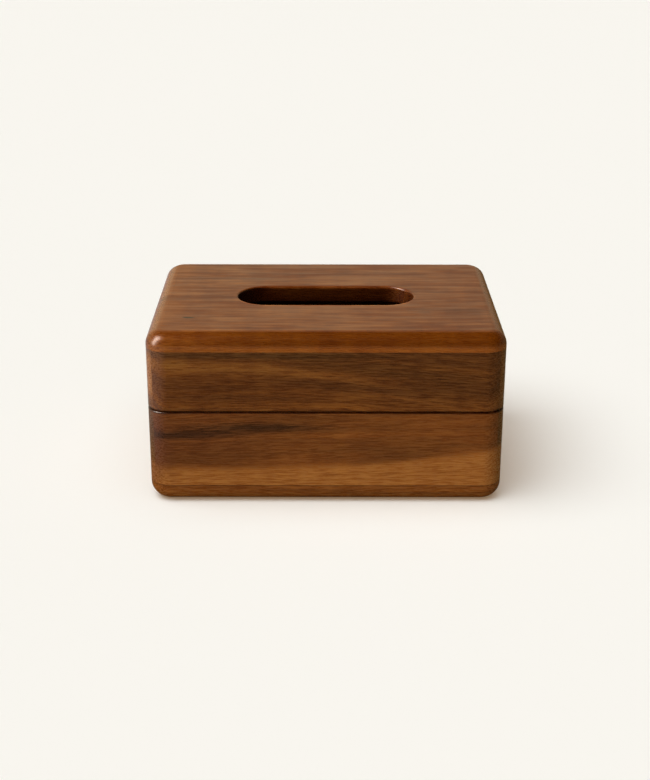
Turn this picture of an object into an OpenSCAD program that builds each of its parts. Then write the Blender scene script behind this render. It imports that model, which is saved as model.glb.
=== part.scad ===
// Wooden tissue box in two halves. The base is a tray of four mitred walls on a
// bottom panel. The lid is four mitred walls under a top panel with a round-ended
// slot. Pairs of disc magnets stand a little proud of the two rims. They meet face to
// face, hold the lid on, and keep the rims a fine shadow line apart.
// Millimetres, +Z up. The origin is under the middle of the bottom panel, +X runs
// along the slot and the front of the box faces -Y.

/* [Outside] */
// Width of the box, along the slot
box_w = 210; // [170:1:300]
// Depth of the box, front to back
box_d = 150; // [110:1:220]
// Height of the base, up to its rim
base_h = 58; // [35:0.5:100]
// Height of the lid, up from its rim
lid_h = 47.5; // [30:0.5:90]
// Shadow gap between the two rims
seam_gap = 0.5; // [0.2:0.1:1.5]
// Radius of the four upright corners
corner_r = 12.5; // [4:0.5:18]
// Round-over along the top panel's upper edge
top_round = 9; // [2:0.5:14]
// Round-over along the bottom panel's lower edge
bottom_round = 10; // [2:0.5:14]
// Eased edges of the two rims
rim_ease = 0.8; // [0.3:0.1:1.5]

/* [Boards] */
// Thickness of the upright walls
wall_t = 10; // [8:0.5:14]
// Thickness of the top panel
top_t = 10.5; // [6:0.5:16]
// Thickness of the bottom panel
bottom_t = 11.5; // [6:0.5:16]

/* [Tissue slot] */
// Length of the slot, end to end
slot_l = 108.5; // [70:0.5:130]
// Width of the slot
slot_w = 37.5; // [20:0.5:60]
// Eased edges around the slot, above and below
slot_ease = 1.2; // [0.4:0.1:2.5]

/* [Magnets] */
// Diameter of each disc magnet
magnet_d = 6; // [4:0.5:7]
// Thickness of each disc magnet
magnet_h = 3; // [2:0.5:5]
// Gap between a magnet and the side of its pocket
magnet_gap = 0.05; // [0.02:0.01:0.2]
// Distance from the end of the box to the middle of a magnet
magnet_inset = 26; // [20:1:45]

/* [Hidden] */
$fn = 96;
overcut = 1; // how far a cutter runs past the face that it cuts
edge_land = 1; // least flat that a round-over leaves on a panel's edge
lid_base = base_h + seam_gap; // where the lid's rim is
box_h = lid_base + lid_h;
base_wall_h = base_h - bottom_t;
lid_wall_h = lid_h - top_t;
top_edge_r = min(top_round, top_t - edge_land, corner_r - edge_land);
bottom_edge_r = min(bottom_round, bottom_t - edge_land, corner_r - edge_land);
pocket_d = magnet_d + 2 * magnet_gap;
pocket_h = magnet_h - seam_gap / 2; // each magnet stands half the gap proud
front = -1;
back = 1;
left = -1;
right = 1;
top_colour = [0.50, 0.34, 0.22];
lid_colour = [0.34, 0.19, 0.08];
base_colour = [0.44, 0.25, 0.11];
magnet_colour = [0.74, 0.73, 0.70];

// What a round-over of radius r takes off a square corner whose arc is centred here.
module round_waste(r) {
    difference() {
        square([r + overcut, r + overcut]);
        circle(r);
    }
}

// What the round-overs take off the outer end of a board's section.
module edge_waste(reach, h, upper_r, lower_r) {
    if (upper_r > 0) translate([reach - upper_r, h - upper_r]) round_waste(upper_r);
    if (lower_r > 0) translate([reach - lower_r, lower_r]) mirror([0, 1]) round_waste(lower_r);
}

// A board's whole section, 2 * reach wide, with both ends rounded over.
module board_section(reach, h, upper_r, lower_r) {
    difference() {
        translate([-reach, 0]) square([2 * reach, h]);
        edge_waste(reach, h, upper_r, lower_r);
        mirror([1, 0]) edge_waste(reach, h, upper_r, lower_r);
    }
}

// A solid slab with rounded upright corners, its edges rounded over above and below.
module slab(w, d, h, upper_r, lower_r) {
    straight_x = w - 2 * corner_r;
    straight_y = d - 2 * corner_r;
    rotate([90, 0, 90]) linear_extrude(straight_x, center = true) board_section(d / 2, h, upper_r, lower_r);
    rotate([90, 0, 0]) linear_extrude(straight_y, center = true) board_section(w / 2, h, upper_r, lower_r);
    for (turn = [0 : 3])
        translate([(turn % 3 == 0 ? 1 : -1) * straight_x / 2, (turn < 2 ? 1 : -1) * straight_y / 2, 0])
            rotate(90 * turn) rotate_extrude(angle = 90) difference() {
                square([corner_r, h]);
                edge_waste(corner_r, h, upper_r, lower_r);
            }
}

// The wall along the -Y side of a box that is w by d, standing on z = 0 with its rim on top.
// Its ends are mitred at 45 degrees and its inner rim edge is eased.
module wall(w, d, h) {
    difference() {
        intersection() {
            slab(w, d, h, rim_ease, 0);
            translate([0, 0, -overcut]) linear_extrude(h + 2 * overcut) polygon([
                [-w / 2, -d / 2], [w / 2, -d / 2], [w / 2 - wall_t, -d / 2 + wall_t], [-w / 2 + wall_t, -d / 2 + wall_t]
            ]);
        }
        rotate([90, 0, 90]) linear_extrude(w, center = true)
            translate([-d / 2 + wall_t - rim_ease, h - rim_ease]) round_waste(rim_ease);
    }
}

// Moves a magnet or its pocket to its place along the rim of the front or back wall.
module at_magnet(x_side, y_side) {
    translate([x_side * (box_w / 2 - magnet_inset), y_side * (box_d - wall_t) / 2, 0]) children();
}

// A front or back wall, with a blind pocket for a magnet near each end of its rim.
module long_wall(side, h) {
    difference() {
        rotate(side == front ? 0 : 180) wall(box_w, box_d, h);
        for (x_side = [left, right])
            at_magnet(x_side, side) translate([0, 0, h - pocket_h]) cylinder(h = pocket_h + overcut, d = pocket_d);
    }
}

module short_wall(side, h) {
    rotate(side == right ? 90 : -90) wall(box_d, box_w, h);
}

// Half of the slot's section, out from its middle, flared above and below to ease its edges.
module slot_section() {
    r = slot_w / 2;
    translate([0, -overcut]) square([r, top_t + 2 * overcut]);
    difference() {
        translate([0, top_t - slot_ease]) square([r + slot_ease, slot_ease + overcut]);
        translate([r + slot_ease, top_t - slot_ease]) circle(slot_ease);
    }
    difference() {
        translate([0, -overcut]) square([r + slot_ease, slot_ease + overcut]);
        translate([r + slot_ease, slot_ease]) circle(slot_ease);
    }
}

// The cutter for the slot: a straight stretch between two half-round ends.
module slot_cutter() {
    straight = slot_l - slot_w;
    for (turn = [0, 180]) rotate(turn) {
        rotate([90, 0, 90]) linear_extrude(straight, center = true) slot_section();
        translate([straight / 2, 0, 0]) rotate(-90) rotate_extrude(angle = 180) slot_section();
    }
}

module base_bottom_panel() {
    color(base_colour) slab(box_w, box_d, bottom_t, 0, bottom_edge_r);
}

module base_long_wall(side) {
    color(base_colour) translate([0, 0, bottom_t]) long_wall(side, base_wall_h);
}

module base_short_wall(side) {
    color(base_colour) translate([0, 0, bottom_t]) short_wall(side, base_wall_h);
}

module lid_top_panel() {
    color(top_colour) translate([0, 0, box_h - top_t]) difference() {
        slab(box_w, box_d, top_t, top_edge_r, 0);
        slot_cutter();
    }
}

// The lid's walls are turned over, so that their rims face down.
module lid_long_wall(side) {
    color(lid_colour) translate([0, 0, box_h - top_t]) mirror([0, 0, 1]) long_wall(side, lid_wall_h);
}

module lid_short_wall(side) {
    color(lid_colour) translate([0, 0, box_h - top_t]) mirror([0, 0, 1]) short_wall(side, lid_wall_h);
}

module base_magnet(x_side, y_side) {
    color(magnet_colour) at_magnet(x_side, y_side)
        translate([0, 0, base_h - pocket_h]) cylinder(h = magnet_h, d = magnet_d);
}

module lid_magnet(x_side, y_side) {
    color(magnet_colour) at_magnet(x_side, y_side)
        translate([0, 0, lid_base + pocket_h - magnet_h]) cylinder(h = magnet_h, d = magnet_d);
}

base_bottom_panel();
base_long_wall(front);  // base_front_wall
base_long_wall(back);  // base_back_wall
base_short_wall(left);  // base_left_wall
base_short_wall(right);  // base_right_wall
base_magnet(left, front);  // base_magnet_front_left
base_magnet(right, front);  // base_magnet_front_right
base_magnet(left, back);  // base_magnet_back_left
base_magnet(right, back);  // base_magnet_back_right
lid_top_panel();
lid_long_wall(front);  // lid_front_wall
lid_long_wall(back);  // lid_back_wall
lid_short_wall(left);  // lid_left_wall
lid_short_wall(right);  // lid_right_wall
lid_magnet(left, front);  // lid_magnet_front_left
lid_magnet(right, front);  // lid_magnet_front_right
lid_magnet(left, back);  // lid_magnet_back_left
lid_magnet(right, back);  // lid_magnet_back_right
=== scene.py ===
from math import cos, radians, sin

import bpy
from mathutils import Matrix, Vector

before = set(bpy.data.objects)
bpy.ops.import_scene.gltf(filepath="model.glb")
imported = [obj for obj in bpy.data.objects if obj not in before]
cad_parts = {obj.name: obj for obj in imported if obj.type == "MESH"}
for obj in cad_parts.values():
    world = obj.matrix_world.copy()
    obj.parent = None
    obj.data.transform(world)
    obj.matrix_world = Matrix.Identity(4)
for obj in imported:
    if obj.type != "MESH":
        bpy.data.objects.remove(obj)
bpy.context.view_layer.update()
scene = bpy.context.scene
mm = 0.001


def feed(tree, socket, value):  # a link where value is another node's socket, else a plain value
    if isinstance(value, bpy.types.NodeSocket):
        tree.links.new(value, socket)
    elif value is not None:
        socket.default_value = value


def calc(tree, operation, *values, clamp=False):
    node = tree.nodes.new("ShaderNodeMath")
    node.operation = operation
    node.use_clamp = clamp
    for socket, value in zip(node.inputs, values):
        feed(tree, socket, value)
    return node.outputs[0]


def ramp(tree, value, low, high, start=0.0, end=1.0):  # a smooth step from start at low to end at high
    node = tree.nodes.new("ShaderNodeMapRange")
    node.interpolation_type = "SMOOTHSTEP"
    numbers = {"Value": value, "From Min": low, "From Max": high, "To Min": start, "To Max": end}
    for label, number in numbers.items():
        feed(tree, node.inputs[label], number)
    return node.outputs["Result"]


def vector(tree, x, y, z):
    node = tree.nodes.new("ShaderNodeCombineXYZ")
    for socket, value in zip(node.inputs, (x, y, z)):
        feed(tree, socket, value)
    return node.outputs[0]


def distance(tree, first, second):  # the long side of a right-angled triangle
    squares = [calc(tree, "POWER", calc(tree, "ABSOLUTE", side), 2.0) for side in (first, second)]
    return calc(tree, "SQRT", calc(tree, "ADD", *squares))


def stretch(tree, along, across, depth, sizes):  # grain space squeezed by the size of a mark each way, in mm
    return vector(tree, *[calc(tree, "DIVIDE", v, s) for v, s in zip((along, across, depth), sizes)])


def noise(tree, place, seed, detail=2.0, roughness=0.5):
    node = tree.nodes.new("ShaderNodeTexNoise")
    node.noise_dimensions = "4D"
    feed(tree, node.inputs["Vector"], place)
    feed(tree, node.inputs["W"], seed)
    node.inputs["Scale"].default_value = 1.0
    node.inputs["Detail"].default_value = detail
    node.inputs["Roughness"].default_value = roughness
    return node.outputs["Fac"]


def blendColour(tree, mask, under, over, mode="MIX"):
    node = tree.nodes.new("ShaderNodeMix")
    node.data_type = "RGBA"
    node.blend_type = mode
    feed(tree, node.inputs["Factor"], mask)
    feed(tree, node.inputs["A"], under)
    feed(tree, node.inputs["B"], over)
    return node.outputs["Result"]


def newGroup(name, inputs, outputs):  # inputs and outputs are {label: value}, and a colour has four numbers
    group = bpy.data.node_groups.new(name, "ShaderNodeTree")
    kinds = {1: "NodeSocketFloat", 3: "NodeSocketVector", 4: "NodeSocketColor"}
    for side, sockets in (("INPUT", inputs), ("OUTPUT", outputs)):
        for label, value in sockets.items():
            size = len(value) if isinstance(value, tuple) else 1
            socket = group.interface.new_socket(label, in_out=side, socket_type=kinds[size])
            if side == "INPUT":
                socket.default_value = value
    return group, group.nodes.new("NodeGroupInput").outputs, group.nodes.new("NodeGroupOutput").inputs


def place(tree, group, **values):  # puts a group in a material; haloWidth= feeds its input "Halo Width"
    node = tree.nodes.new("ShaderNodeGroup")
    node.node_tree = group
    for key, value in values.items():
        label = "".join(" " + c if c.isupper() else c for c in key)
        feed(tree, node.inputs[label[0].upper() + label[1:]], value)
    return node.outputs


def paint(red, green, blue):  # a colour as it looks on a screen, 0 to 255, in the shader's linear numbers
    def linear(value):
        share = value / 255
        return share / 12.92 if share <= 0.04045 else ((share + 0.055) / 1.055) ** 2.4
    return (linear(red), linear(green), linear(blue), 1.0)


# Effects that the boards share. Grain space is in mm: along the grain, across the
# board's face, and into the board.

markSizes = {  # in mm, along the grain, across it and into the board
    "wave": (60, 26, 26),
    "fibre": (10, 0.55, 0.55),
    "pores": (6, 0.42, 0.42),
    "curl": (9, 30, 30),
}


def makeGrainGroup():
    group, given, result = newGroup(
        "walnutGrain",
        {"Grain Space": (0.0, 0.0, 0.0), "Seed": 0.0, "Tilt": 0.0, "Bend": 0.0, "Bend Start": 0.0,
         "Log Across": 0.0,
         "Log Depth": -60.0, "Ring Width": 5.0, "Wander": 2.0, "Figure Length": 150.0, "Figure Width": 9.0},
        {"Rings": 0.0, "Figure": 0.0, "Fibre": 0.0, "Pores": 0.0, "Curl": 0.0},
    )
    split = group.nodes.new("ShaderNodeSeparateXYZ")
    feed(group, split.inputs[0], given["Grain Space"])
    along, across, depth = split.outputs
    seed = given["Seed"]
    past = calc(group, "MAXIMUM", calc(group, "SUBTRACT", along, given["Bend Start"]), 0.0)
    bent = calc(group, "POWER", past, 2.0)
    sloped = calc(group, "MULTIPLY_ADD", along, given["Tilt"], across)
    line = calc(group, "MULTIPLY_ADD", bent, given["Bend"], sloped)
    wave = noise(group, stretch(group, along, line, depth, markSizes["wave"]), seed, 3.0, 0.55)
    sway = calc(group, "MULTIPLY", given["Wander"], 4.0)
    wavy = calc(group, "MULTIPLY_ADD", calc(group, "SUBTRACT", wave, 0.5), sway, line)
    reach = distance(group, calc(group, "SUBTRACT", wavy, given["Log Across"]),
                     calc(group, "SUBTRACT", depth, given["Log Depth"]))
    count = calc(group, "DIVIDE", reach, given["Ring Width"])
    spread = noise(group, vector(group, calc(group, "MULTIPLY", count, 0.6), 0.0, 0.0),
                   calc(group, "ADD", seed, 7.3))
    uneven = calc(group, "MULTIPLY_ADD", spread, 2.2, count)
    late = ramp(group, calc(group, "FRACT", uneven), 0.25, 0.92)
    sharp = ramp(group, calc(group, "FRACT", uneven), 0.93, 1.0, 1.0, 0.0)
    lottery = group.nodes.new("ShaderNodeTexWhiteNoise")
    lottery.noise_dimensions = "1D"
    feed(group, lottery.inputs["W"], calc(group, "ADD", calc(group, "FLOOR", uneven), seed))
    strong = calc(group, "MULTIPLY_ADD", lottery.outputs["Value"], 0.8, 0.2)
    feed(group, result["Rings"], calc(group, "MULTIPLY", calc(group, "MULTIPLY", late, sharp), strong))
    bands = vector(group, calc(group, "DIVIDE", along, given["Figure Length"]),
                   calc(group, "DIVIDE", reach, given["Figure Width"]), calc(group, "DIVIDE", depth, 40.0))
    figure = noise(group, bands, calc(group, "ADD", seed, 3.1), 3.0, 0.6)
    feed(group, result["Figure"], ramp(group, figure, 0.33, 0.67))
    fibre = noise(group, stretch(group, along, wavy, depth, markSizes["fibre"]),
                  calc(group, "ADD", seed, 5.7), 4.0, 0.62)
    feed(group, result["Fibre"], ramp(group, fibre, 0.3, 0.7))
    pores = noise(group, stretch(group, along, wavy, depth, markSizes["pores"]),
                  calc(group, "ADD", seed, 9.9), 1.0, 0.5)
    feed(group, result["Pores"], ramp(group, pores, 0.58, 0.72))
    curl = noise(group, stretch(group, along, wavy, depth, markSizes["curl"]),
                 calc(group, "ADD", seed, 12.4), 2.0, 0.5)
    feed(group, result["Curl"], ramp(group, curl, 0.3, 0.7))
    return group


def makeStreakGroup():  # a long patch with pointed, ragged ends that follows the grain
    group, given, result = newGroup(
        "grainStreak",
        {"Grain Space": (0.0, 0.0, 0.0), "Fibre": 0.5, "Along": 0.0, "Across": 0.0, "Half Length": 30.0,
         "Half Width": 2.0, "Slope": 0.0, "Bow": 0.0, "Soft": 0.5, "Ragged": 0.5},
        {"Mask": 0.0},
    )
    split = group.nodes.new("ShaderNodeSeparateXYZ")
    feed(group, split.inputs[0], given["Grain Space"])
    offset = calc(group, "SUBTRACT", split.outputs[0], given["Along"])
    rise = calc(group, "ADD", given["Slope"], calc(group, "MULTIPLY", given["Bow"], offset))
    middle = calc(group, "MULTIPLY_ADD", offset, rise, given["Across"])
    side = calc(group, "DIVIDE", calc(group, "SUBTRACT", split.outputs[1], middle), given["Half Width"])
    end = calc(group, "DIVIDE", offset, given["Half Length"])
    square = calc(group, "ADD", calc(group, "MULTIPLY", side, side), calc(group, "MULTIPLY", end, end))
    torn = calc(group, "MULTIPLY", calc(group, "SUBTRACT", given["Fibre"], 0.5), given["Ragged"])
    edge = calc(group, "ADD", calc(group, "SQRT", square), torn)
    inner = calc(group, "SUBTRACT", 1.0, given["Soft"])
    outer = calc(group, "ADD", 1.0, given["Soft"])
    feed(group, result["Mask"], calc(group, "SUBTRACT", 1.0, ramp(group, edge, inner, outer)))
    return group


def makeLacquerGroup():  # fine light and dark of the fibres over a wood colour, with its height and its gloss
    group, given, result = newGroup(
        "oiledFibres",
        {"Color": (0.2, 0.1, 0.04, 1.0), "Fibre": 0.5, "Pores": 0.0, "Curl": 0.5, "Fibre Depth": 0.2,
         "Pore Depth": 0.3, "Curl Depth": 0.1},
        {"Color": (0.0, 0.0, 0.0, 1.0), "Roughness": 0.0, "Height": 0.0},
    )

    def swing(value, amount):  # 1 in the middle, and up or down from there by amount
        return calc(group, "MULTIPLY_ADD", calc(group, "SUBTRACT", value, 0.5),
                    calc(group, "MULTIPLY", amount, 2.0), 1.0)

    light = calc(group, "MULTIPLY", swing(given["Fibre"], given["Fibre Depth"]),
                 swing(given["Curl"], given["Curl Depth"]))
    light = calc(group, "SUBTRACT", light, calc(group, "MULTIPLY", given["Pores"], given["Pore Depth"]))
    powers = (1.0, 1.5, 2.0)  # what is darker is also redder
    deeper = vector(group, *[calc(group, "POWER", light, power) for power in powers])
    scaled = group.nodes.new("ShaderNodeVectorMath")
    scaled.operation = "MULTIPLY"
    feed(group, scaled.inputs[0], given["Color"])
    feed(group, scaled.inputs[1], deeper)
    feed(group, result["Color"], scaled.outputs[0])
    feed(group, result["Roughness"], calc(group, "MULTIPLY_ADD", given["Fibre"], 0.08, 0.24))
    feed(group, result["Height"], calc(group, "SUBTRACT", calc(group, "MULTIPLY", given["Fibre"], 0.5),
                                       given["Pores"]))
    return group


slotLook = {  # in mm along the slot, or out from its side; where the slot's painted shade and its lip's painted reflection lie
    "darkEnd": (-31.0, -46.0),
    "dimEnd": (36.0, 50.0, 1.0, 0.4),
    "rimReach": 4.0,
    "lipStart": (0.1, 0.5),
    "lipStop": (1.4, 2.4, 1.0, 0.0),
    "lipFront": (-8.0, -16.0),
}


def makeCutGroup():  # where a board is cut away, along its round-overs or in its long slot
    group, given, result = newGroup(
        "cutBelowFace",
        {"Grain Space": (0.0, 0.0, 0.0), "Face": 0.0, "Drop": 1.0, "Foot": 10.0, "Edge": 60.0,
         "Fade From": -120.0, "Fade To": -30.0, "Slot Straight": 30.0, "Slot Radius": 15.0},
        {"Round Over": 0.0, "Slot": 0.0, "Low": 0.0, "Flat": 0.0, "Lip": 0.0},
    )
    split = group.nodes.new("ShaderNodeSeparateXYZ")
    feed(group, split.inputs[0], given["Grain Space"])
    along, across, depth = split.outputs
    aside = calc(group, "ABSOLUTE", across)
    below = calc(group, "SUBTRACT", given["Face"], depth)
    cut = ramp(group, below, 0.0, given["Drop"])
    beyond = calc(group, "SUBTRACT", calc(group, "ABSOLUTE", along), given["Slot Straight"])
    away = distance(group, calc(group, "MAXIMUM", beyond, 0.0), aside)
    near = calc(group, "LESS_THAN", away, calc(group, "ADD", given["Slot Radius"], slotLook["rimReach"]))
    # painted shade: the slot's left end faces away from the window and is darkest
    end = calc(group, "MULTIPLY", near, ramp(group, along, *slotLook["darkEnd"]))
    starts, stops = calc(group, "MULTIPLY_ADD", end, -0.8, 0.9), calc(group, "MULTIPLY_ADD", end, -1.7, 2.3)
    inside = calc(group, "MULTIPLY", ramp(group, below, starts, stops), near)
    # the slot's painted shade, weaker at its right end, which the window lights
    feed(group, result["Slot"], calc(group, "MULTIPLY", inside, ramp(group, along, *slotLook["dimEnd"])))
    gap = calc(group, "SUBTRACT", away, given["Slot Radius"])
    lip = calc(group, "MULTIPLY", ramp(group, gap, *slotLook["lipStart"]),
               ramp(group, gap, *slotLook["lipStop"]))
    # painted reflection: the slot's front lip is lightened
    feed(group, result["Lip"], calc(group, "MULTIPLY", lip, ramp(group, across, *slotLook["lipFront"])))
    feed(group, result["Flat"], calc(group, "SUBTRACT", 1.0, cut))
    edge = calc(group, "MULTIPLY", cut, ramp(group, aside, given["Edge"],
                                             calc(group, "ADD", given["Edge"], 5.0)))
    # painted light: the round-overs' painted shade fades towards the left end, which the window lights
    fade = ramp(group, along, given["Fade From"], given["Fade To"], 0.3, 1.0)
    feed(group, result["Round Over"], calc(group, "MULTIPLY", edge, fade))
    # the round-over's foot gets painted light, and the slot's deep walls and left end get its deepest painted
    # shade
    low = ramp(group, below, calc(group, "MULTIPLY", given["Foot"], 0.6), given["Foot"])
    feed(group, result["Low"], calc(group, "MAXIMUM", low, end))
    return group


seamShadeLook = {  # in mm; where the seam's painted shade lies
    "cornerX": (92.0, 103.0),
    "cornerY": (62.0, 73.0),
    "outsideX": 98.0,
    "outsideY": 68.0,
    "height": 0.75,
    "cornerExtra": 0.6,
}


def makeSeamShadeGroup():  # painted shade in the seam, along the eased outer edge of a rim, wider towards the corners
    group, given, result = newGroup("easedRim", {"Position": (0.0, 0.0, 0.0), "Rim": 0.0}, {"Mask": 0.0})
    split = group.nodes.new("ShaderNodeSeparateXYZ")
    feed(group, split.inputs[0], given["Position"])
    x, y, z = [calc(group, "ABSOLUTE", output) for output in split.outputs]
    away = calc(group, "ABSOLUTE", calc(group, "SUBTRACT", z, given["Rim"]))
    corner = calc(group, "MULTIPLY", ramp(group, x, *seamShadeLook["cornerX"]),
                  ramp(group, y, *seamShadeLook["cornerY"]))
    reach = calc(group, "MULTIPLY_ADD", corner, seamShadeLook["cornerExtra"], seamShadeLook["height"])
    outside = calc(group, "MAXIMUM", calc(group, "SUBTRACT", x, seamShadeLook["outsideX"]),
                   calc(group, "SUBTRACT", y, seamShadeLook["outsideY"]))
    edge = calc(group, "MULTIPLY", ramp(group, away, calc(group, "MULTIPLY", reach, 0.55), reach, 1.0, 0.0),
                calc(group, "GREATER_THAN", away, 0.02))
    feed(group, result["Mask"], calc(group, "MULTIPLY", edge, calc(group, "GREATER_THAN", outside, 0.0)))
    return group


grainGroup, streakGroup, lacquerGroup = makeGrainGroup(), makeStreakGroup(), makeLacquerGroup()
cutGroup, seamShadeGroup = makeCutGroup(), makeSeamShadeGroup()
print("shared effects made")


finish = {
    "specular": 0.5,
    "bumpStrength": 0.16,
    "bumpDistance": 0.02 * mm,
    "faceBump": 2.0,  # the sawn face shows more grain than its edges
    "faceDull": 0.21,  # and is rougher
    "paleFigureGloss": -0.14,
    "roundOverBlend": 0.75,
    "roundOverCalm": -0.18,  # fainter fibres on a round-over
}


def woodMaterial(name, board):
    material = bpy.data.materials.new(name)
    material.use_nodes = True
    tree = material.node_tree
    surface = tree.nodes["Principled BSDF"]
    where = tree.nodes.new("ShaderNodeTexCoord").outputs["Object"]
    inMm = tree.nodes.new("ShaderNodeVectorMath")
    inMm.operation = "SCALE"
    feed(tree, inMm.inputs[0], where)
    inMm.inputs["Scale"].default_value = 1 / mm
    split = tree.nodes.new("ShaderNodeSeparateXYZ")
    feed(tree, split.inputs[0], inMm.outputs[0])
    grainSpace = vector(tree, *[split.outputs["XYZ".index(axis)] for axis in board["axes"]])
    grain = place(tree, grainGroup, grainSpace=grainSpace, **board["grain"])
    colour = blendColour(tree, grain["Figure"], board["dark"], board["light"])
    colour = blendColour(tree, calc(tree, "MULTIPLY", grain["Rings"], board["ringDepth"]), colour,
                         board["late"])
    for streak in board["streaks"]:
        shape = {key: value for key, value in streak.items() if key not in ("colour", "amount")}
        mask = place(tree, streakGroup, grainSpace=grainSpace, fibre=grain["Fibre"], **shape)["Mask"]
        colour = blendColour(tree, calc(tree, "MULTIPLY", mask, streak["amount"]), colour, streak["colour"])
    fibres = board["fibres"]
    if "cut" in board:
        cut = place(tree, cutGroup, grainSpace=grainSpace, **board["cut"])
        share = calc(tree, "MULTIPLY", cut["Round Over"], finish["roundOverBlend"])
        colour = blendColour(tree, share, colour, board["roundOverWood"])
        # painted shade on the round-overs, with painted light at their foot
        shade = blendColour(tree, cut["Low"], board["roundOverPaintedShade"], board["footTint"])
        colour = blendColour(tree, cut["Round Over"], colour, shade, "MULTIPLY")
        # painted shade inside the slot, deepest low down and at its left end
        shade = blendColour(tree, cut["Low"], board["slotTint"], board["slotDeepPaintedShade"])
        colour = blendColour(tree, cut["Slot"], colour, shade, "MULTIPLY")
        # painted reflection on the slot's front lip
        colour = blendColour(tree, cut["Lip"], colour, board["lipTint"], "MULTIPLY")
        calmer = calc(tree, "MULTIPLY_ADD", cut["Round Over"], finish["roundOverCalm"],
                      fibres["fibreDepth"])
        fibres = dict(fibres, fibreDepth=calmer)
    if "rim" in board:
        # painted shade in the seam between lid and base, on each rim's eased outer edge
        rim = place(tree, seamShadeGroup, position=inMm.outputs[0], rim=board["rim"])["Mask"]
        colour = blendColour(tree, rim, colour, board["rimTint"], "MULTIPLY")
    lacquer = place(tree, lacquerGroup, color=colour, fibre=grain["Fibre"], pores=grain["Pores"],
                    curl=grain["Curl"], **fibres)
    feed(tree, surface.inputs["Base Color"], lacquer["Color"])
    rough = lacquer["Roughness"]
    if "cut" in board:
        dull = calc(tree, "MULTIPLY_ADD", grain["Figure"], finish["paleFigureGloss"], finish["faceDull"])
        rough = calc(tree, "MULTIPLY_ADD", cut["Flat"], dull, rough)  # the face is duller than its edges
    feed(tree, surface.inputs["Roughness"], rough)
    surface.inputs["Specular IOR Level"].default_value = finish["specular"]
    bump = tree.nodes.new("ShaderNodeBump")
    bump.inputs["Strength"].default_value = finish["bumpStrength"]
    bump.inputs["Distance"].default_value = finish["bumpDistance"]
    height = lacquer["Height"]
    if "cut" in board:
        height = calc(tree, "MULTIPLY", height,
                      calc(tree, "MULTIPLY_ADD", cut["Flat"], finish["faceBump"], 1.0))
    feed(tree, bump.inputs["Height"], height)
    feed(tree, surface.inputs["Normal"], bump.outputs[0])
    return material


def dress(node, material):
    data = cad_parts[node].data
    data.materials.clear()
    data.materials.append(material)


plainFibres = {"fibreDepth": 0.28, "poreDepth": 0.24, "curlDepth": 0.05}
boldFibres = {"fibreDepth": 0.4, "poreDepth": 0.3, "curlDepth": 0.1}

topPanel = {
    "axes": "XYZ",
    "grain": {"seed": 2.0, "logAcross": -160.0, "logDepth": 60.0, "ringWidth": 6.5, "wander": 1.0,
              "figureLength": 40.0, "figureWidth": 4.0},
    "dark": paint(101, 45, 9), "light": paint(124, 65, 16), "late": paint(84, 34, 6), "ringDepth": 0.45,
    "fibres": {"fibreDepth": 0.3, "poreDepth": 0.3, "curlDepth": 0.1},
    "streaks": [
        # painted shade: the top is darker towards its right end, away from the window
        {"along": 95.0, "across": 10.0, "halfLength": 110.0, "halfWidth": 75.0, "soft": 0.8, "ragged": 0.15,
         "colour": paint(96, 40, 8), "amount": 0.3},
        # painted light: the top is lighter at its left end, nearer the window
        {"along": -105.0, "across": 0.0, "halfLength": 17.0, "halfWidth": 90.0, "soft": 0.8, "ragged": 0.15,
         "colour": paint(142, 78, 22), "amount": 0.45},
        # painted light: the left end of the front round-over is lighter, facing the window
        {"along": -88.0, "across": -71.0, "halfLength": 28.0, "halfWidth": 9.0, "soft": 0.8, "ragged": 0.3,
         "colour": paint(146, 80, 22), "amount": 0.3},
        {"along": -66.0, "across": 35.0, "halfLength": 30.0, "halfWidth": 3.0, "colour": paint(76, 28, 8),
         "amount": 0.6},
        {"along": -92.0, "across": -5.0, "halfLength": 40.0, "halfWidth": 5.0, "colour": paint(82, 32, 8),
         "amount": 0.5},
        {"along": 8.0, "across": 45.0, "halfLength": 60.0, "halfWidth": 2.5, "colour": paint(80, 30, 8),
         "amount": 0.5},
        {"along": 78.0, "across": -30.0, "halfLength": 30.0, "halfWidth": 4.0, "slope": -0.05,
         "colour": paint(80, 32, 8), "amount": 0.5},
        {"along": 70.0, "across": 8.0, "halfLength": 26.0, "halfWidth": 3.0, "colour": paint(82, 32, 8),
         "amount": 0.45},
        {"along": -81.4, "across": -43.6, "halfLength": 3.6, "halfWidth": 1.1, "slope": -0.06, "soft": 0.3,
         "ragged": 0.2, "colour": paint(12, 4, 2), "amount": 1.0},
    ],
    "cut": {"face": 105.95, "drop": 0.5, "foot": 9.6, "edge": 63.0, "slotStraight": 35.5,
            "slotRadius": 18.75},
    # painted shade on the round-overs and painted light at their foot
    "roundOverWood": paint(112, 54, 12), "roundOverPaintedShade": (0.68, 0.65, 0.1, 1.0),
    "footTint": (1.6, 1.8, 1.4, 1.0),
    # painted shade inside the slot
    "slotTint": (0.26, 0.22, 0.1, 1.0), "slotDeepPaintedShade": (0.18, 0.14, 0.04, 1.0),
    # painted reflection on the slot's front lip
    "lipTint": (2.2, 2.4, 3.0, 1.0),
}
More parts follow.
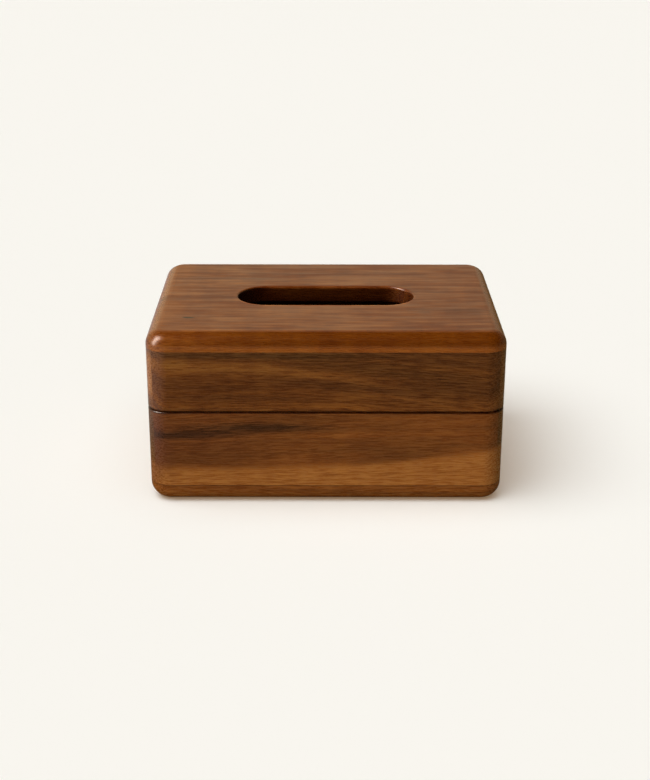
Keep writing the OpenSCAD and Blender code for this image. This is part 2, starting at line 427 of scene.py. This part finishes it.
lidFront = {
    "axes": "XZY",
    "grain": {"seed": 11.0, "bend": 0.0003, "bendStart": -40.0, "logAcross": 20.0, "logDepth": 10.0,
              "ringWidth": 4.5, "wander": 1.0, "figureLength": 130.0, "figureWidth": 4.0},
    "dark": paint(89, 45, 9), "light": paint(116, 62, 13), "late": paint(69, 32, 6), "ringDepth": 0.5,
    "fibres": boldFibres,
    "streaks": [
        {"along": 85.0, "across": 80.0, "halfLength": 45.0, "halfWidth": 20.0, "soft": 0.9, "ragged": 0.3,
         "colour": paint(70, 36, 9), "amount": 0.45},
        {"along": -40.0, "across": 93.4, "halfLength": 75.0, "halfWidth": 2.6, "soft": 0.7,
         "colour": paint(70, 40, 13), "amount": 0.8},
        {"along": -68.0, "across": 86.2, "halfLength": 45.0, "halfWidth": 3.0, "slope": -0.03, "soft": 0.8,
         "colour": paint(134, 82, 28), "amount": 0.6},
        {"along": 0.0, "across": 80.5, "halfLength": 42.0, "halfWidth": 2.2, "slope": -0.17, "soft": 0.8,
         "colour": paint(122, 70, 22), "amount": 0.5},
        {"along": 25.0, "across": 86.0, "halfLength": 45.0, "halfWidth": 4.0, "slope": -0.1, "soft": 0.8,
         "colour": paint(62, 33, 9), "amount": 0.55},
        {"along": 15.0, "across": 73.5, "halfLength": 50.0, "halfWidth": 3.4, "slope": -0.12, "soft": 0.8,
         "colour": paint(66, 33, 9), "amount": 0.5},
        {"along": 41.0, "across": 67.8, "halfLength": 26.0, "halfWidth": 0.7, "slope": -0.19,
         "colour": paint(126, 72, 24), "amount": 0.5},
    ],
    # painted shade in the seam along the lid's bottom rim
    "rim": 58.5, "rimTint": (0.3, 0.22, 0.15, 1.0),
}
lidSide = {
    "axes": "YZX",
    "grain": {"seed": 23.0, "tilt": 0.02, "logAcross": 20.0, "logDepth": -160.0, "ringWidth": 5.0,
              "wander": 2.0},
    "dark": paint(88, 50, 16), "light": paint(116, 66, 22), "late": paint(70, 36, 12), "ringDepth": 0.45,
    "fibres": plainFibres,
    "streaks": [
        {"along": -80.0, "across": 80.5, "halfLength": 75.0, "halfWidth": 12.5, "slope": -0.03,
         "soft": 0.25, "colour": paint(174, 112, 56), "amount": 0.65},
    ],
    # painted shade in the seam along the lid's bottom rim
    "rim": 58.5, "rimTint": (0.3, 0.22, 0.15, 1.0),
}
baseFront = {
    "axes": "XZY",
    "grain": {"seed": 31.0, "tilt": -0.02, "logAcross": -60.0, "logDepth": -20.0, "ringWidth": 5.0,
              "wander": 1.4, "figureLength": 90.0, "figureWidth": 8.0},
    "dark": paint(100, 53, 14), "light": paint(123, 66, 18), "late": paint(82, 40, 10), "ringDepth": 0.4,
    "fibres": plainFibres,
    "streaks": [
        {"along": 0.0, "across": 8.0, "halfLength": 900.0, "halfWidth": 16.2, "slope": 0.055,
         "bow": 0.00045, "soft": 0.13, "ragged": 0.25, "colour": paint(158, 96, 37), "amount": 0.85},
        {"along": -95.0, "across": 44.0, "halfLength": 55.0, "halfWidth": 17.0, "soft": 0.9, "ragged": 0.3,
         "colour": paint(86, 40, 13), "amount": 0.5},
        {"along": -105.0, "across": 33.0, "halfLength": 12.0, "halfWidth": 22.0, "soft": 0.6, "ragged": 0.3,
         "colour": paint(88, 44, 24), "amount": 0.7},
        {"along": 45.0, "across": 30.5, "halfLength": 28.0, "halfWidth": 3.4, "slope": 0.14,
         "colour": paint(88, 46, 12), "amount": 0.45},
        {"along": -86.0, "across": 43.8, "halfLength": 36.0, "halfWidth": 2.5, "slope": 0.035, "soft": 0.8,
         "ragged": 0.7, "colour": paint(50, 22, 9), "amount": 0.9},
        {"along": -40.0, "across": 48.6, "halfLength": 30.0, "halfWidth": 2.4, "soft": 0.8, "ragged": 0.8,
         "colour": paint(50, 24, 9), "amount": 0.9},
    ],
    # painted shade in the seam along the base's top rim
    "rim": 58.0, "rimTint": (0.2, 0.12, 0.06, 1.0),
}
sapAlongFoot = {"along": 0.0, "across": 9.0, "halfLength": 900.0, "halfWidth": 15.5, "soft": 0.09,
                "ragged": 0.1, "colour": paint(155, 94, 36), "amount": 0.85}
# the base's sides take the same painted shade in the seam
baseSide = dict(lidSide, grain=dict(lidSide["grain"], seed=41.0), rim=58.0, rimTint=baseFront["rimTint"],
                streaks=[dict(sapAlongFoot, colour=paint(132, 76, 38))])
bottomPanel = {
    "axes": "XZY",
    "grain": {"seed": 53.0, "logAcross": 50.0, "logDepth": -90.0, "ringWidth": 5.0, "wander": 2.4},
    "dark": paint(122, 65, 17), "light": paint(138, 77, 22), "late": paint(102, 52, 12), "ringDepth": 0.35,
    "fibres": plainFibres,
    "streaks": [
        {"along": 0.0, "across": 11.3, "halfLength": 130.0, "halfWidth": 0.5, "soft": 0.4, "ragged": 0.2,
         "colour": paint(64, 30, 7), "amount": 0.7},
        {"along": -12.0, "across": 8.0, "halfLength": 32.0, "halfWidth": 0.8, "ragged": 0.9,
         "colour": paint(84, 40, 8), "amount": 0.3},
        {"along": 60.0, "across": 6.0, "halfLength": 60.0, "halfWidth": 0.8, "ragged": 0.9,
         "colour": paint(84, 42, 10), "amount": 0.5},
    ],
}

boards = {
    "lid_top_panel": ("walnutTopPanel", topPanel),
    "lid_front_wall": ("walnutLidFront", lidFront),
    "lid_back_wall": ("walnutLidBack", dict(lidFront, grain=dict(lidFront["grain"], seed=14.0),
                                            streaks=[])),
    "lid_left_wall": ("walnutLidLeft", lidSide),
    "lid_right_wall": ("walnutLidRight", dict(lidSide, grain=dict(lidSide["grain"], seed=26.0),
                                              streaks=[])),
    "base_bottom_panel": ("walnutBottomPanel", bottomPanel),
    "base_front_wall": ("walnutBaseFront", baseFront),
    "base_back_wall": ("walnutBaseBack", dict(baseFront, grain=dict(baseFront["grain"], seed=34.0),
                                              streaks=[dict(sapAlongFoot, across=10.5, halfWidth=19.0,
                                                            slope=0.05)])),
    "base_left_wall": ("walnutBaseLeft", baseSide),
    "base_right_wall": ("walnutBaseRight", dict(baseSide, grain=dict(baseSide["grain"], seed=46.0),
                                                streaks=[dict(sapAlongFoot, across=12.0, halfWidth=23.0)])),
}
for node, (name, board) in boards.items():
    dress(node, woodMaterial(name, board))
print("boards dressed:", len(boards))


plateLook = {"colour": paint(222, 219, 212), "scuffScale": 900, "polished": 0.2, "scuffed": 0.34}


def magnetMaterial():
    material = bpy.data.materials.new("nickelPlate")
    material.use_nodes = True
    tree = material.node_tree
    surface = tree.nodes["Principled BSDF"]
    surface.inputs["Base Color"].default_value = plateLook["colour"]
    surface.inputs["Metallic"].default_value = 1.0
    where = tree.nodes.new("ShaderNodeTexCoord").outputs["Object"]
    scuffs = tree.nodes.new("ShaderNodeTexNoise")
    scuffs.inputs["Scale"].default_value = plateLook["scuffScale"]
    feed(tree, scuffs.inputs["Vector"], where)
    rough = ramp(tree, scuffs.outputs["Fac"], 0.3, 0.7, plateLook["polished"], plateLook["scuffed"])
    feed(tree, surface.inputs["Roughness"], rough)
    return material


plate = magnetMaterial()
magnets = [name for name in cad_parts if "_magnet_" in name]
for name in magnets:
    dress(name, plate)
print("magnets dressed:", len(magnets))


# The studio: a pale floor, a soft window on the left, and a pale room
studio = {
    "backdrop": paint(248, 245, 238),
    "floorSize": 12.0,
    "floorLit": (0.92, 0.991, 0.9965, 1.0),  # the floor's own colour where the camera sees it
    "floorUnlit": (1.0, 0.667, 0.402, 1.0),  # and in full shadow, which is warm
    "floorGlow": 0.24,  # the share of that
    "floorMirrored": (0.22, 0.15, 0.055, 1.0),  # the floor in the lacquer
    "windowFloorMirrored": (0.56, 0.52, 0.5, 1.0),  # and where it lies towards the window
    "windowFloorX": (-0.13, -0.25),
    "floorBounced": (0.46, 0.44, 0.4, 1.0),  # the floor as it lights the box from below
    "roomMirrored": (0.75, 0.64, 0.41, 1.0),
    "backdropTop": (-0.5, 0.7, -0.09, 0.43),  # it is tall behind the box and low before it
    "backdropFade": (0.06, 0.26, 1.0, 0.03),
    "backdropRight": (0.0, 0.6, 1.0, 0.25),
    "windowFrom": (203.0, 62.0),  # degrees round from +X, and degrees up
    "windowSpread": 50.0,
    "windowStrength": 1.81,
    "fillFrom": (230.0, 15.0),  # lights the box but not the floor
    "fillSpread": 50.0,
    "fillStrength": 1.57,
    "glintFrom": ((197.0, 14.0), (197.0, 34.0), (197.0, 50.0)),  # the tall window in the lacquer
    "glintSpread": 24.0,
    "glintStrength": 1.8,
    "glintColour": (1.0, 0.84, 0.72),
    "skyFrom": (240.0, 75.0),  # the lit ceiling up in front of the box
    "skySpread": 72.0,
    "skyStrength": 1.446,
    "roomGlow": 0.057,
}


def makeFloor():
    bpy.ops.mesh.primitive_plane_add(size=studio["floorSize"])
    floor = bpy.context.object
    floor.name = "floor"
    material = bpy.data.materials.new("paleFloor")
    material.use_nodes = True
    tree = material.node_tree
    surface = tree.nodes["Principled BSDF"]
    ray = tree.nodes.new("ShaderNodeLightPath").outputs
    colour = blendColour(tree, ray["Is Camera Ray"], studio["floorBounced"], studio["floorLit"])
    split = tree.nodes.new("ShaderNodeSeparateXYZ")
    feed(tree, split.inputs[0], tree.nodes.new("ShaderNodeTexCoord").outputs["Object"])
    mirrored = blendColour(tree, ramp(tree, split.outputs[0], *studio["windowFloorX"]),
                           studio["floorMirrored"], studio["windowFloorMirrored"])
    feed(tree, surface.inputs["Base Color"], blendColour(tree, ray["Is Glossy Ray"], colour, mirrored))
    surface.inputs["Roughness"].default_value = 1.0
    surface.inputs["Specular IOR Level"].default_value = 0.0
    glow = tree.nodes.new("ShaderNodeEmission")
    glow.inputs["Color"].default_value = studio["floorUnlit"]
    mixed = tree.nodes.new("ShaderNodeMixShader")
    feed(tree, mixed.inputs[0], calc(tree, "MULTIPLY", ray["Is Camera Ray"], studio["floorGlow"]))
    feed(tree, mixed.inputs[1], surface.outputs[0])
    feed(tree, mixed.inputs[2], glow.outputs[0])
    feed(tree, tree.nodes["Material Output"].inputs["Surface"], mixed.outputs[0])
    floor.data.materials.append(material)
    return floor


def addSun(name, comesFrom, strength, spread, colour=(1.0, 1.0, 1.0)):
    heading, height = [radians(angle) for angle in comesFrom]
    source = Vector((cos(height) * cos(heading), cos(height) * sin(heading), sin(height)))
    lamp = bpy.data.lights.new(name, "SUN")
    lamp.energy = strength
    lamp.angle = radians(spread)
    lamp.color = colour
    holder = bpy.data.objects.new(name, lamp)
    holder.rotation_euler = (-source).to_track_quat("-Z", "Y").to_euler()
    scene.collection.objects.link(holder)
    return holder


def makeWindow(floor):
    window = addSun("window", studio["windowFrom"], studio["windowStrength"], studio["windowSpread"])
    fill = addSun("fill", studio["fillFrom"], studio["fillStrength"], studio["fillSpread"])
    lit = bpy.data.collections.new("litByFill")
    lit.objects.link(floor)
    lit.collection_objects[0].light_linking.link_state = "EXCLUDE"
    fill.light_linking.receiver_collection = lit
    sky = addSun("sky", studio["skyFrom"], studio["skyStrength"], studio["skySpread"])
    for lamp in (window, fill, sky):  # the lacquer doesn't mirror these
        lamp.visible_glossy = lamp.data.cycles.use_multiple_importance_sampling = False
    for spot in studio["glintFrom"]:
        glint = addSun("glint", spot, studio["glintStrength"], studio["glintSpread"], studio["glintColour"])
        glint.visible_diffuse = False


def makeRoom():
    world = bpy.data.worlds.new("paleRoom")
    scene.world = world
    world.use_nodes = True
    tree = world.node_tree
    sky = tree.nodes["Background"]
    way = tree.nodes.new("ShaderNodeTexCoord").outputs["Generated"]
    split = tree.nodes.new("ShaderNodeSeparateXYZ")
    feed(tree, split.inputs[0], way)
    ray = tree.nodes.new("ShaderNodeLightPath").outputs
    mirrored = calc(tree, "MAXIMUM", ray["Is Glossy Ray"], ray["Is Transmission Ray"])
    top = ramp(tree, split.outputs["Y"], *studio["backdropTop"])
    wall = ramp(tree, calc(tree, "SUBTRACT", split.outputs["Z"], top), *studio["backdropFade"])
    wall = calc(tree, "MULTIPLY", wall, ramp(tree, split.outputs["X"], *studio["backdropRight"]))
    seen = calc(tree, "MAXIMUM", ray["Is Camera Ray"], calc(tree, "MULTIPLY", mirrored, wall))
    looked = calc(tree, "MAXIMUM", ray["Is Camera Ray"], mirrored)
    tint = blendColour(tree, mirrored, studio["backdrop"], studio["roomMirrored"])
    feed(tree, sky.inputs["Color"], blendColour(tree, looked, (1.0, 1.0, 1.0, 1.0), tint))
    unseen = calc(tree, "MULTIPLY", calc(tree, "SUBTRACT", 1.0, looked), studio["roomGlow"])
    feed(tree, sky.inputs["Strength"], calc(tree, "ADD", seen, unseen))


cameraPlace = {
    "target": Vector((-0.42, 0.0, 42.91)) * mm,
    "distance": 915.08 * mm,
    "pitch": 21.468,  # degrees down
    "yaw": 0.155,
    "roll": 0.132,
    "lens": 66.42,
}


def makeCamera():
    pitch, yaw = radians(cameraPlace["pitch"]), radians(cameraPlace["yaw"])
    forward = Vector((sin(yaw) * cos(pitch), cos(yaw) * cos(pitch), -sin(pitch)))
    camera = bpy.data.cameras.new("camera")
    camera.lens = cameraPlace["lens"]
    holder = bpy.data.objects.new("camera", camera)
    turn = Matrix.Rotation(-yaw, 4, "Z") @ Matrix.Rotation(radians(90) - pitch, 4, "X")
    turn = turn @ Matrix.Rotation(radians(cameraPlace["roll"]), 4, "Z")
    spot = cameraPlace["target"] - forward * cameraPlace["distance"]
    holder.matrix_world = Matrix.Translation(spot) @ turn
    scene.collection.objects.link(holder)
    scene.camera = holder


makeWindow(makeFloor())
makeRoom()
makeCamera()
scene.view_settings.view_transform = "Standard"
print("studio set")
